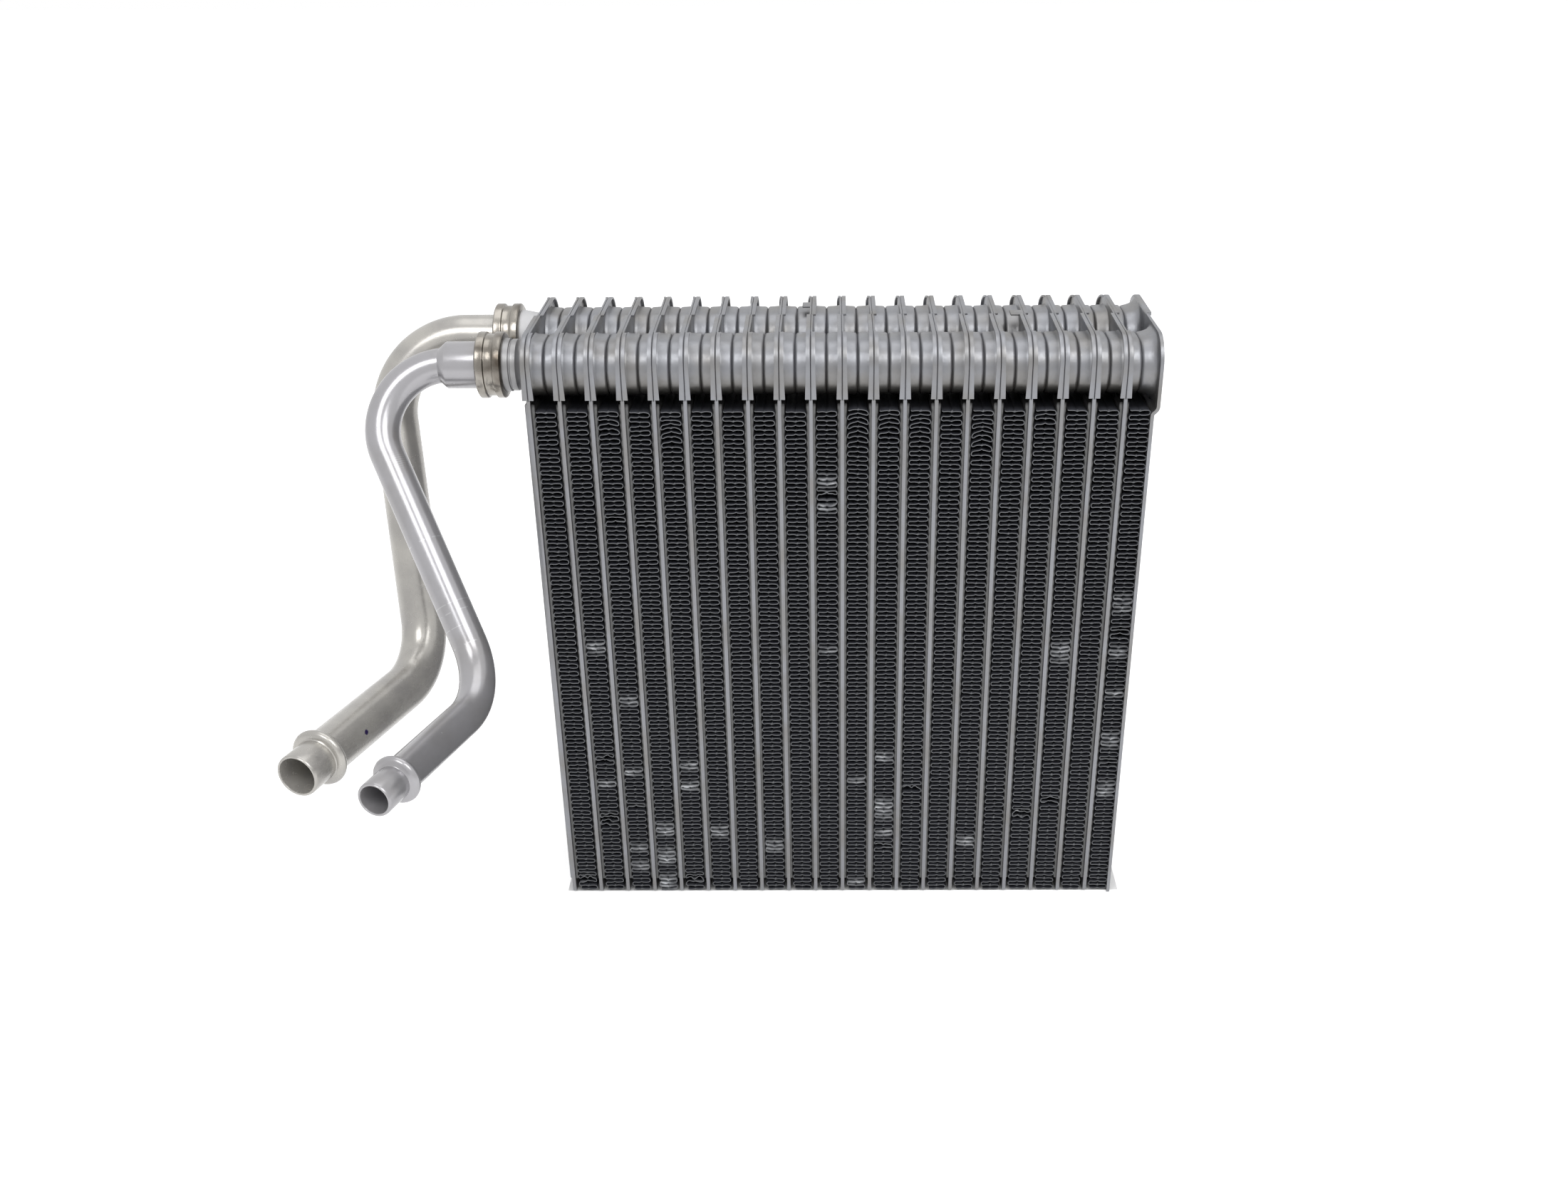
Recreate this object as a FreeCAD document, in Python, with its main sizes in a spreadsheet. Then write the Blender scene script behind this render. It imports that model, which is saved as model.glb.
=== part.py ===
"""Laminated evaporator core: stamped plate pairs brazed with corrugated fins, an end plate and two pipes.

Millimetres. +X runs along the stack from the pipe side to the end plate, -Y is the face where the
pipes leave, +Z is up. The origin is at the foot of the first pair of plates, on its middle plane and
half way through its depth.
"""
import FreeCAD, Part
import Sketcher
import math
import os

Vector = FreeCAD.Vector

SIZES = {
    # plate stack
    "plate_pitch": 10.7,
    "pair_count": 20,
    "plate_height": 227.0,
    "plate_depth": 65.0,
    "plate_corner": 10.0,
    "corner_sides": 3,
    "plate_foot_clip": 2.0,
    "rim_thickness": 0.85,
    "sheet_thickness": 0.6,
    # refrigerant channel pressed in each half
    "channel_rise": 1.6,
    "channel_setback": 2.0,
    "channel_foot": 5.6,
    "channel_clip": 3.5,
    # stiffening lips round the tank end of each half
    "lip_width": 2.0,
    "lip_height": 20.5,
    "long_lip_end": 0.2,
    "short_lip_end": 21.5,
    # tank cups, racetrack shaped, two to a half
    "cup_height": 19.6,
    "cup_straight": 5.2,
    "cup_draft": 6.0,
    "cup_sides": 12,
    "cup_margin": 2.9,
    "cup_setback": 3.4,
    # marker tabs on two of the pairs
    "rear_tab_pair": 10,
    "mid_tab_pair": 17,
    "tab_depth": 5.5,
    "rear_tab_length": 3.3,
    "rear_tab_place": 13.0,
    "mid_tab_length": 4.7,
    "mid_tab_place": 1.8,
    # corrugated fins
    "fin_sheet": 0.35,
    "fin_waves": 12,
    "fin_setback": 1.0,
    "fin_foot": 0.6,
    "fin_gap_to_cups": 1.0,
    # end plate
    "end_sheet": 1.2,
    "end_step_gap": 0.4,
    "end_step_drop": 4.0,
    "end_flare_margin": 0.3,
    "end_lip": 1.0,
    # pipe joints on the first pair
    "collar_length": 10.4,
    "collar_groove_width": 3.2,
    "collar_groove_depth": 0.8,
    "neck_length": 8.7,
    "neck_ring_length": 4.2,
    "liquid_collar_wall": 3.3,
    "liquid_neck_ring": 18.5,
    "liquid_neck_diameter": 15.2,
    "suction_collar_wall": 4.0,
    "suction_neck_ring": 19.2,
    "suction_neck_diameter": 17.2,
    # pipes: the route's corners are where the straight runs would meet
    "pipe_wall": 1.1,
    "liquid_diameter": 12.0,
    "liquid_flare_diameter": 16.3,
    "liquid_flare_length": 6.3,
    "liquid_flare_taper": 3.0,
    "liquid_upper_bend": 22.4,
    "liquid_lower_bend": 27.0,
    "liquid_out": 54.65,
    "liquid_drop": 94.9,
    "liquid_forward": 63.3,
    "liquid_side": 52.2,
    "liquid_leg": 71.9,
    "liquid_leg_turn": 17.0,
    "liquid_leg_rise": 2.4,
    "liquid_stub_diameter": 11.4,
    "liquid_bead_diameter": 16.0,
    "suction_diameter": 16.0,
    "suction_upper_bend": 27.0,
    "suction_lower_bend": 25.7,
    "suction_out": 50.95,
    "suction_drop": 110.5,
    "suction_forward": 50.0,
    "suction_side": 14.9,
    "suction_leg": 81.3,
    "suction_leg_turn": 17.8,
    "suction_leg_rise": 1.7,
    "suction_stub_diameter": 15.0,
    "suction_bead_diameter": 20.2,
    "bore_depth": 32.0,
    "stub_length": 10.0,
    "bead_length": 5.0,
}

doc = FreeCAD.newDocument("evaporator_core")
sheet = doc.addObject("Spreadsheet::Sheet", "sizes")
for row, (alias, value) in enumerate(SIZES.items(), 1):
    sheet.set(f"A{row}", alias)
    sheet.set(f"B{row}", str(value))
    sheet.setAlias(f"B{row}", alias)
doc.recompute()

nodes = []


def size(text):
    """The value of an expression written in the sheet's aliases, without their sheet name."""
    return float(sheet.evalExpression(text))


def bound(text):
    """The same expression with each alias addressed through the sheet, for setExpression."""
    words = []
    word = ""
    for letter in text + " ":
        if letter.isalnum() or letter == "_":
            word += letter
            continue
        words.append("sizes." + word if word in SIZES else word)
        words.append(letter)
        word = ""
    return "".join(words).strip()


def bind(item, **expressions):
    for name, text in expressions.items():
        item.setExpression(name.replace("__", "."), bound(text))


def place_along_x(item, text):
    item.setExpression("Placement.Base.x", bound(text))


def new_body(name):
    return doc.addObject("PartDesign::Body", name)


def new_sketch(body, name, role, offset="0"):
    """A sketch flat on one of the body's origin planes, moved along that plane's normal by offset."""
    plane = next(item for item in body.Origin.OriginFeatures if item.Role == role)
    sketch = body.newObject("Sketcher::SketchObject", name)
    sketch.AttachmentSupport = (plane, "")
    sketch.MapMode = "FlatFace"
    sketch.setExpression("AttachmentOffset.Base.z", bound(offset))
    return sketch


def draw(sketch, corners):
    """A closed outline of straight sides through corners, each a pair of expressions."""
    count = len(corners)
    points = [Vector(size(across), size(up), 0) for across, up in corners]
    for index, point in enumerate(points):
        sketch.addGeometry(Part.LineSegment(point, points[(index + 1) % count]), False)
    for index, (across, up) in enumerate(corners):
        sketch.addConstraint(Sketcher.Constraint("Coincident", index, 2, (index + 1) % count, 1))
        hold(sketch, index, 1, "x", across)
        hold(sketch, index, 1, "y", up)


def round_corners(middle, radius, start, turn, sides):
    """Corner points along an arc: start and turn in degrees, with the given number of sides."""
    across, up = middle
    points = []
    for index in range(sides + 1):
        angle = start + turn * index / sides
        points.append((f"{across} + {radius} * cos({angle})", f"{up} + {radius} * sin({angle})"))
    return points


def hold(sketch, curve, point, axis, text):
    """Hold one coordinate of a sketch point at an expression."""
    kind = "DistanceX" if axis == "x" else "DistanceY"
    index = sketch.addConstraint(Sketcher.Constraint(kind, -1, 1, curve, point, size(text)))
    sketch.setExpression(f"Constraints[{index}]", bound(text))


def pad(body, sketch, name, length, draft=None, reverse=False, both=False):
    feature = body.newObject("PartDesign::Pad", name)
    feature.Profile = sketch
    bind(feature, Length=length)
    feature.Reversed = reverse
    feature.Midplane = both
    if draft:
        bind(feature, TaperAngle=draft)
    sketch.Visibility = False
    return feature


# Shared places, as expressions in the sheet's names

HALF_DEPTH = "(plate_depth / 2)"
CORNER_TOP = "(plate_height - plate_corner)"
CORNER_SIDE = "(plate_depth / 2 - plate_corner)"
CUP_RADIUS = "(cup_height / 2)"
SEAM_RADIUS = "(cup_height / 2 - plate_pitch / 2 * tan(cup_draft))"
TANK_LEVEL = "(plate_height - cup_margin - cup_height / 2)"
CUP_FOOT = "(plate_height - cup_margin - cup_height)"
FIN_HEAD = f"({CUP_FOOT} - fin_gap_to_cups)"
FIN_WAVE = f"(({FIN_HEAD} - fin_foot - fin_sheet) / fin_waves)"
LAST_PAIR = "((pair_count - 1) * plate_pitch)"
JOINT_FACE = "-(rim_thickness + neck_length)"
REAR_TANK = "(plate_depth / 2 - cup_setback - cup_straight / 2 - cup_height / 2)"
FRONT_TANK = f"(-{REAR_TANK})"
LIP_FOOT = "(plate_height - lip_height)"
FLARE_RADIUS = "(cup_height / 2 + cup_margin - end_flare_margin)"
STEP_TOP = f"({TANK_LEVEL} - {FLARE_RADIUS} - end_step_gap)"


def plate_outline(sketch):
    """The outline of a stamping, seen along the stack: round at the tank end, clipped at the foot."""
    foot = f"({HALF_DEPTH} - plate_foot_clip)"
    sides = round(size("corner_sides"))
    right_top = round_corners((CORNER_SIDE, CORNER_TOP), "plate_corner", 0, 90, sides)
    left_top = round_corners((f"-{CORNER_SIDE}", CORNER_TOP), "plate_corner", 90, 90, sides)
    right_foot = [(foot, "0"), (HALF_DEPTH, "plate_foot_clip")]
    left_foot = [(f"-{HALF_DEPTH}", "plate_foot_clip"), (f"-{foot}", "0")]
    draw(sketch, right_foot + right_top + left_top + left_foot)


def channel_outline(sketch):
    """The flat bulge that carries the refrigerant, set back from the plate's edges."""
    reach = f"({HALF_DEPTH} - channel_setback)"
    turn = f"({reach} - channel_clip)"
    start = "channel_foot + channel_clip"
    corners = [(turn, "channel_foot"), (reach, start), (reach, CUP_FOOT)]
    mirrored = [(f"-{across}", up) for across, up in reversed(corners)]
    draw(sketch, corners + mirrored)


def racetrack(sketch, middle, radius):
    """A cup's outline: two half rounds joined by straights, about a tank's axis."""
    sides = round(size("cup_sides / 2"))
    right = round_corners((f"{middle} + cup_straight / 2", TANK_LEVEL), radius, -90, 180, sides)
    left = round_corners((f"{middle} - cup_straight / 2", TANK_LEVEL), radius, 90, 180, sides)
    draw(sketch, right + left)


def lip_outline(sketch, side, inner_end):
    """A strip of sheet that follows the plate's edge up one side and round its corner.

    side is -1 at the front and 1 at the rear. The strip ends on the top edge, at inner_end from the middle.
    """
    middle = (f"{side} * {CORNER_SIDE}", CORNER_TOP)
    sides = round(size("corner_sides"))
    start = 0 if side > 0 else 180
    outside = round_corners(middle, "plate_corner", start, side * 90, sides)
    inside = round_corners(middle, "(plate_corner - sheet_thickness)", start, side * 90, sides)
    foot_outside = [(f"{side} * {HALF_DEPTH}", LIP_FOOT)]
    foot_inside = [(f"{side} * ({HALF_DEPTH} - sheet_thickness)", LIP_FOOT)]
    top = [(f"{side} * {inner_end}", "plate_height"), (f"{side} * {inner_end}", "plate_height - sheet_thickness")]
    draw(sketch, foot_outside + outside + top + inside[::-1] + foot_inside)


def plate_half(name, with_cups):
    """The left half of a pair, lying on the pair's middle plane with its pressings towards -X.

    The right half is the same stamping turned half round, so its long lip is at the rear.
    """
    body = new_body(name)
    web = new_sketch(body, name + "_outline", "YZ_Plane")
    plate_outline(web)
    pad(body, web, name + "_web", "rim_thickness", reverse=True)
    channel = new_sketch(body, name + "_channel_outline", "YZ_Plane")
    channel_outline(channel)
    pad(body, channel, name + "_channel", "channel_rise", reverse=True)
    for side, middle in (("front", FRONT_TANK), ("rear", REAR_TANK)):
        if with_cups:
            cup = new_sketch(body, f"{name}_{side}_cup_outline", "YZ_Plane")
            racetrack(cup, middle, CUP_RADIUS)
            pad(body, cup, f"{name}_{side}_cup", "plate_pitch / 2", draft="-cup_draft", reverse=True)
    long_lip = new_sketch(body, name + "_long_lip_outline", "YZ_Plane")
    lip_outline(long_lip, -1, "long_lip_end")
    pad(body, long_lip, name + "_long_lip", "lip_width", reverse=True)
    short_lip = new_sketch(body, name + "_short_lip_outline", "YZ_Plane")
    lip_outline(short_lip, 1, "short_lip_end")
    pad(body, short_lip, name + "_short_lip", "lip_width", reverse=True)
    return body


def marker_tab(name, length, middle):
    """A flat tab left on the top edge of a half, pointing at the pipe side."""
    tab = doc.addObject("Part::Box", name)
    bind(tab, Length=length, Width="tab_depth", Height="sheet_thickness")
    bind(tab, Placement__Base__x=f"-{length}", Placement__Base__y=f"{middle} - tab_depth / 2")
    bind(tab, Placement__Base__z="plate_height - sheet_thickness")
    return tab


def marked_half(name, half, tab):
    fuse = doc.addObject("Part::MultiFuse", name)
    fuse.Shapes = [half, tab]
    return fuse


def pair_of(name, left, right):
    pair = doc.addObject("Part::Compound", name)
    pair.Links = [left, right]
    return pair


def pair_place(number):
    """The middle plane of a pair, counted from 1 at the pipe side."""
    return f"({number - 1} * plate_pitch)"


def placed(source, label, text):
    """A repeat of source as a sub-part of its own, moved along the stack."""
    item = doc.addObject("App::Link", label)
    item.LinkedObject = source
    item.Label = label
    place_along_x(item, text)
    nodes.append(item)


def plate_stack():
    half = plate_half("plate_half", True)
    port_half = plate_half("port_half", False)
    turned = doc.addObject("App::Link", "plate_half_turned")
    turned.LinkedObject = half
    turned.Placement = FreeCAD.Placement(Vector(0, 0, 0), FreeCAD.Rotation(Vector(0, 0, 1), 180))
    rear_tab = marker_tab("rear_tab", "rear_tab_length", "rear_tab_place")
    mid_tab = marker_tab("mid_tab", "mid_tab_length", "mid_tab_place")
    plain = pair_of("plain_pair", half, turned)
    rear_marked = marked_half("rear_marked_half", half, rear_tab)
    mid_marked = marked_half("mid_marked_half", half, mid_tab)
    special = {
        1: pair_of("port_pair", port_half, turned),
        round(size("rear_tab_pair")): pair_of("rear_marked_pair", rear_marked, turned),
        round(size("mid_tab_pair")): pair_of("mid_marked_pair", mid_marked, turned),
    }
    for number in range(1, round(size("pair_count")) + 1):
        placed(special.get(number, plain), f"plate_pair_{number:02d}", pair_place(number))


def fin_stack():
    """Corrugated strips, each as wide as the gap between two channels."""
    body = new_body("fin")
    wave = new_sketch(body, "fin_wave", "XZ_Plane")
    wide = "(plate_pitch - 2 * channel_rise)"
    draw(
        wave,
        [
            ("0", "fin_foot"),
            (wide, f"fin_foot + {FIN_WAVE} / 2"),
            (wide, f"fin_foot + {FIN_WAVE} / 2 + fin_sheet"),
            ("0", f"fin_foot + {FIN_WAVE} + fin_sheet"),
            ("0", f"fin_foot + {FIN_WAVE}"),
            (f"{wide} * ({FIN_WAVE} - fin_sheet) / {FIN_WAVE}", f"fin_foot + ({FIN_WAVE} + fin_sheet) / 2"),
            ("0", "fin_foot + fin_sheet"),
        ],
    )
    first = pad(body, wave, "fin_first_wave", "plate_depth - 2 * fin_setback", both=True)
    waves = body.newObject("PartDesign::LinearPattern", "fin_waves")
    waves.Originals = [first]
    waves.Direction = (wave, ["V_Axis"])
    bind(waves, Length=f"{FIN_WAVE} * (fin_waves - 1)", Occurrences="fin_waves")
    body.Tip = waves
    for number in range(1, round(size("pair_count")) + 1):
        placed(body, f"fin_{number:02d}", f"{pair_place(number)} + channel_rise")


def end_plate():
    """The thicker plate that closes the tanks and backs the last fin."""
    body = new_body("end_plate")
    tank_face = "plate_pitch"
    fin_face = "(plate_pitch - channel_rise)"
    section = new_sketch(body, "end_section", "XZ_Plane")
    step_foot = f"{STEP_TOP} - end_step_drop"
    draw(
        section,
        [
            (tank_face, "plate_height"),
            (tank_face, STEP_TOP),
            (fin_face, step_foot),
            (fin_face, "0"),
            (f"{fin_face} + end_sheet", "0"),
            (f"{fin_face} + end_sheet", step_foot),
            (f"{tank_face} + end_sheet", STEP_TOP),
            (f"{tank_face} + end_sheet", "plate_height"),
        ],
    )
    sheet_pad = pad(body, section, "end_sheet_pad", "plate_depth", both=True)
    doc.recompute()
    corners = []
    for index, edge in enumerate(sheet_pad.Shape.Edges, 1):
        box = edge.BoundBox
        at_top = box.ZMin > size("plate_height - sheet_thickness / 2")
        along_stack = box.YLength < size("sheet_thickness / 2")
        if at_top and along_stack:
            corners.append(f"Edge{index}")
    rounding = body.newObject("PartDesign::Fillet", "end_corners")
    rounding.Base = (sheet_pad, corners)
    bind(rounding, Radius="plate_corner")
    for side, middle in (("front", FRONT_TANK), ("rear", REAR_TANK)):
        wide = new_sketch(body, f"end_{side}_flare_outline", "YZ_Plane", tank_face)
        racetrack(wide, middle, FLARE_RADIUS)
        seam = new_sketch(body, f"end_{side}_seam_outline", "YZ_Plane", "plate_pitch / 2")
        racetrack(seam, middle, SEAM_RADIUS)
        flare = body.newObject("PartDesign::AdditiveLoft", f"end_{side}_flare")
        flare.Profile = wide
        flare.Sections = [seam]
        flare.Ruled = True
        mouth = new_sketch(body, f"end_{side}_mouth_outline", "YZ_Plane", f"{tank_face} + end_sheet")
        racetrack(mouth, middle, f"({FLARE_RADIUS} - end_sheet / 2)")
        bottom = new_sketch(body, f"end_{side}_bottom_outline", "YZ_Plane", "plate_pitch / 2 + end_sheet")
        racetrack(bottom, middle, f"({SEAM_RADIUS} - end_sheet / 2)")
        recess = body.newObject("PartDesign::SubtractiveLoft", f"end_{side}_recess")
        recess.Profile = mouth
        recess.Sections = [bottom]
        recess.Ruled = True
    lip = new_sketch(body, "end_lip_outline", "YZ_Plane", f"{tank_face} + end_sheet")
    lip_outline(lip, 1, "long_lip_end")
    pad(body, lip, "end_lip", "end_lip")
    place_along_x(body, LAST_PAIR)
    nodes.append(body)


def turned_part(name, corners, face, middle):
    """A ring about a tank's axis: corners are (along the stack, radius), and x=0 lies on face."""
    body = new_body(name)
    profile = new_sketch(body, name + "_profile", "XZ_Plane")
    draw(profile, corners)
    turning = body.newObject("PartDesign::Revolution", name + "_turning")
    turning.Profile = profile
    turning.ReferenceAxis = (profile, ["H_Axis"])
    turning.Angle = 360
    bind(body, Placement__Base__x=face, Placement__Base__y=middle, Placement__Base__z=TANK_LEVEL)
    nodes.append(body)


def neck(name, middle, ring, diameter):
    """The fitting brazed on the first pair: a neck at the plate and a wider ring at the pipe."""
    ring_start = "-(neck_length - neck_ring_length)"
    corners = [
        ("0", "0"),
        ("0", f"{diameter} / 2"),
        (ring_start, f"{diameter} / 2"),
        (ring_start, f"{ring} / 2"),
        ("-neck_length", f"{ring} / 2"),
        ("-neck_length", "0"),
    ]
    turned_part(name, corners, "-rim_thickness", middle)


def collar(name, middle, bore, wall):
    """A grooved ring pressed round the pipe's end, with the pipe's diameter as its bore."""
    edge = f"({bore} / 2 + {wall})"
    low = f"({edge} - collar_groove_depth)"
    groove_start = "-(collar_length - collar_groove_width) / 2"
    groove_end = "-(collar_length + collar_groove_width) / 2"
    corners = [
        ("0", f"{bore} / 2"),
        ("0", edge),
        (groove_start, edge),
        (groove_start, low),
        (groove_end, low),
        (groove_end, edge),
        ("-collar_length", edge),
        ("-collar_length", f"{bore} / 2"),
    ]
    turned_part(name, corners, JOINT_FACE, middle)


class Route:
    """A pipe's centre line: straight runs joined by tangent arcs."""

    def __init__(self, kind, middle):
        self.start = Vector(size(JOINT_FACE), size(middle), size(TANK_LEVEL))
        upper = self.start + Vector(size(f"-{kind}_out"), 0, 0)
        fall = Vector(size(f"{kind}_side"), -size(f"{kind}_forward"), -size(f"{kind}_drop"))
        lower = upper + fall
        turn = math.radians(size(f"{kind}_leg_turn"))
        rise = math.radians(size(f"{kind}_leg_rise"))
        heading = Vector(-math.sin(turn) * math.cos(rise), -math.cos(turn) * math.cos(rise), math.sin(rise))
        self.rim = lower + heading * size(f"{kind}_leg")
        self.heading = heading
        self.line = [self.start, upper, lower, self.rim]
        self.bends = [size(f"{kind}_upper_bend"), size(f"{kind}_lower_bend")]

    def rod(self, start, end, radius):
        """Solid pieces of one radius along the line, from start to end."""
        pieces = []
        place = start
        for index, bend in enumerate(self.bends, 1):
            corner = self.line[index]
            arriving = (corner - self.line[index - 1]).normalize()
            leaving = (self.line[index + 1] - corner).normalize()
            angle = arriving.getAngle(leaving)
            reach = bend * math.tan(angle / 2)
            bend_start = corner - arriving * reach
            axis = arriving.cross(leaving).normalize()
            centre = bend_start + axis.cross(arriving) * bend
            disc = Part.Face(Part.Wire(Part.makeCircle(radius, bend_start, arriving)))
            pieces.append(cylinder(place, bend_start, radius))
            pieces.append(disc.revolve(centre, axis, math.degrees(angle)))
            place = corner + leaving * reach
        pieces.append(cylinder(place, end, radius))
        return pieces


def cylinder(start, end, radius):
    return Part.makeCylinder(radius, (end - start).Length, start, end - start)


def cones(profile, origin, along):
    """Coaxial solids end to end, from a profile of (distance, radius) points."""
    pieces = []
    for (start, first), (end, last) in zip(profile, profile[1:]):
        place = origin + along * start
        if first == last:
            pieces.append(Part.makeCylinder(first, end - start, place, along))
        else:
            pieces.append(Part.makeCone(first, last, end - start, place, along))
    return pieces


def pipe(name, kind, middle, flared):
    """A pipe from its collar to its beaded, narrowed open end, in one piece."""
    route = Route(kind, middle)
    radius = size(f"{kind}_diameter / 2")
    stub = size(f"{kind}_stub_diameter / 2")
    bore = stub - size("pipe_wall")
    bead = size(f"{kind}_bead_diameter / 2")
    front = size("stub_length")
    back = front + size("bead_length")
    back_along = route.heading * -1
    end_form = [(0, stub), (front, stub), ((front + back) / 2, bead), (back, radius)]
    pieces = cones(end_form, route.rim, back_along)
    start = route.start
    if flared:
        wide = size(f"{kind}_flare_diameter / 2")
        straight = size(f"collar_length + {kind}_flare_length")
        plain = straight + size(f"{kind}_flare_taper")
        outward = Vector(-1, 0, 0)
        pieces += cones([(0, wide), (straight, wide), (plain, radius)], start, outward)
        start = start + outward * plain
    pieces += route.rod(start, route.rim + back_along * back, radius)
    tube = pieces[0].multiFuse(pieces[1:])
    hollow = cylinder(route.rim, route.rim + back_along * size("bore_depth"), bore)
    item = doc.addObject("Part::Feature", name)
    item.Shape = tube.cut(hollow)
    nodes.append(item)


def export():
    """Stop on any failed object or bad shape, then write each sub-part."""
    doc.recompute()
    for item in doc.Objects:
        if "Invalid" in item.State or "Error" in item.State:
            raise RuntimeError(f"{item.Label} failed: {item.State}")
    os.makedirs("parts", exist_ok=True)
    for item in nodes:
        shape = item.Shape
        if shape.isNull() or not shape.isValid():
            raise RuntimeError(f"{item.Label} has no valid shape")
        shape.exportStep(f"parts/{item.Label}.step")
        print(item.Label, len(shape.Solids), "solids", round(shape.Volume, 1), "mm3")


plate_stack()
fin_stack()
end_plate()
neck("liquid_neck", FRONT_TANK, "liquid_neck_ring", "liquid_neck_diameter")
neck("suction_neck", REAR_TANK, "suction_neck_ring", "suction_neck_diameter")
collar("liquid_collar", FRONT_TANK, "liquid_flare_diameter", "liquid_collar_wall")
collar("suction_collar", REAR_TANK, "suction_diameter", "suction_collar_wall")
pipe("liquid_pipe", "liquid", FRONT_TANK, True)
pipe("suction_pipe", "suction", REAR_TANK, False)
export()
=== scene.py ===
"""Looks of a laminated evaporator core, built round its CAD frame.

Metres, in the CAD frame: +X along the stack from the pipe side, -Y towards the viewer, +Z up. The origin
is at the foot of the first plate pair, on its middle plane.
"""

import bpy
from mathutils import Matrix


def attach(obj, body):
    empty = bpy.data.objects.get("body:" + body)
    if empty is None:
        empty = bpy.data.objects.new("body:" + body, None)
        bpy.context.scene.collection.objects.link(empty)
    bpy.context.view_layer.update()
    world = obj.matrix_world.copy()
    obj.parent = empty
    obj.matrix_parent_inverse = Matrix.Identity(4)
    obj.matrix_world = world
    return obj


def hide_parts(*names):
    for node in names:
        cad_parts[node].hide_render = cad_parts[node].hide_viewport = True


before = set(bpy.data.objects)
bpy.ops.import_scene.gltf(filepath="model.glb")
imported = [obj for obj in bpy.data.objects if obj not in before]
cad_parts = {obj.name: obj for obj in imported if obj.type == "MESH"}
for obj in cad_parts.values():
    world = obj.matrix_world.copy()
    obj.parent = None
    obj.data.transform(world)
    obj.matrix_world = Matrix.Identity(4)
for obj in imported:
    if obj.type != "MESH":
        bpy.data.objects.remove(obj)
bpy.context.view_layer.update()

import math
import random

import bmesh
import bpy
from bpy.props import FloatProperty, FloatVectorProperty, IntProperty, PointerProperty
from bpy.types import Operator, Panel, PropertyGroup
from mathutils import Euler, Matrix, Vector, noise

bl_info = {
    "name": "Laminated evaporator core",
    "version": (1, 0, 0),
    "blender": (4, 5, 0),
    "location": "View3D > Sidebar > Evaporator",
    "description": "Builds the looks of a laminated evaporator core round its CAD frame",
    "category": "Object",
}

ALONG_STACK = Vector((1, 0, 0))
PORT_SIDE = Vector((-1, 0, 0))
PAIR_COUNT = len([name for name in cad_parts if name.startswith("plate_pair_")])
CUP_SIDES = 56
PIPE_SIDES = 56

# Nearer than this counts as on a plane, and points of a fin nearer than this are one
ON_PLANE = 1e-7
MERGE = 0.00001


def length(name, default, description):
    return FloatProperty(name=name, description=description, default=default, subtype="DISTANCE",
                         unit="LENGTH")


def colour(name, default, description):
    return FloatVectorProperty(name=name, description=description, default=default, size=3, subtype="COLOR",
                               min=0, max=1)


class PlateSizes(PropertyGroup):
    """Sizes of the stamped plates."""
    pitch: length("Pitch", 0.0107, "Distance between neighbouring pairs")
    height: length("Height", 0.227, "From the foot to the top edge")
    depth: length("Depth", 0.065, "From the front edge to the rear edge")
    corner: length("Corner", 0.010, "Radius of the two corners at the tank end")
    foot_corner: length("Foot corner", 0.002, "Radius of the corners at the foot")
    sheet: length("Sheet", 0.00066, "Thickness of a stamping at its rim")
    fold: length("Fold", 0.0005, "Radius where a lip folds out of the web")
    lip_width: length("Lip width", 0.0016, "Reach of a lip from the pair's middle plane")
    lip_spread: length("Lip spread", 0.00035, "How much further a lip reaches at its foot")
    lip_foot: length("Lip foot", 0.2065, "Height where the lips begin")
    channel_rise: length("Channel rise", 0.0018, "Reach of the refrigerant channel from the middle plane")
    channel_setback: length("Channel setback", 0.0020, "From the plate's edge to the channel")
    channel_foot: length("Channel foot", 0.0056, "Height where the channel begins")
    divider: length("Divider", 0.0036, "Groove between the channels of the two passes")
    cup_radius: length("Cup radius", 0.0098, "Half the height of a tank cup")
    cup_straight: length("Cup straight", 0.0052, "Length of the straight between a cup's two half rounds")
    tank_spacing: length("Tank spacing", 0.0334, "Between the axes of the two tanks")
    tank_level: length("Tank level", 0.2143, "Height of the tanks' axes")
    end_sheet: length("End sheet", 0.0012, "Thickness of the end plate")
    end_lip: length("End lip", 0.0010, "Reach of the lip beyond the end plate's outer face")
    joggle_top: length("Joggle top", 0.2026, "Height where the end plate begins to step in")
    joggle_foot: length("Joggle foot", 0.2010, "Height where the step ends")


class FinSizes(PropertyGroup):
    """Sizes of the corrugated fins."""
    waves: IntProperty(name="Waves", description="Full waves in one strip", default=62, min=1)
    sheet: length("Sheet", 0.00022, "Thickness of the fin sheet at its cut edges")
    foot: length("Foot", 0.0009, "Height where a strip begins")
    head: length("Head", 0.2034, "Height where a strip ends")
    depth: length("Depth", 0.0630, "From the front of a strip to its rear")
    bend: length("Bend", 0.0007, "Reach of the round bend that joins two legs")
    ripple: length("Ripple", 0.00013, "Height of the two shallow waves across a leg")
    crest: length("Crest", 0.00024, "Height of the crease at the middle of a leg")
    soft_depth: length("Soft depth", 0.0017, "How far behind the front a knock bends the strip")
    seed: IntProperty(name="Seed", description="Seed of the small irregularities", default=7)


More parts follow.
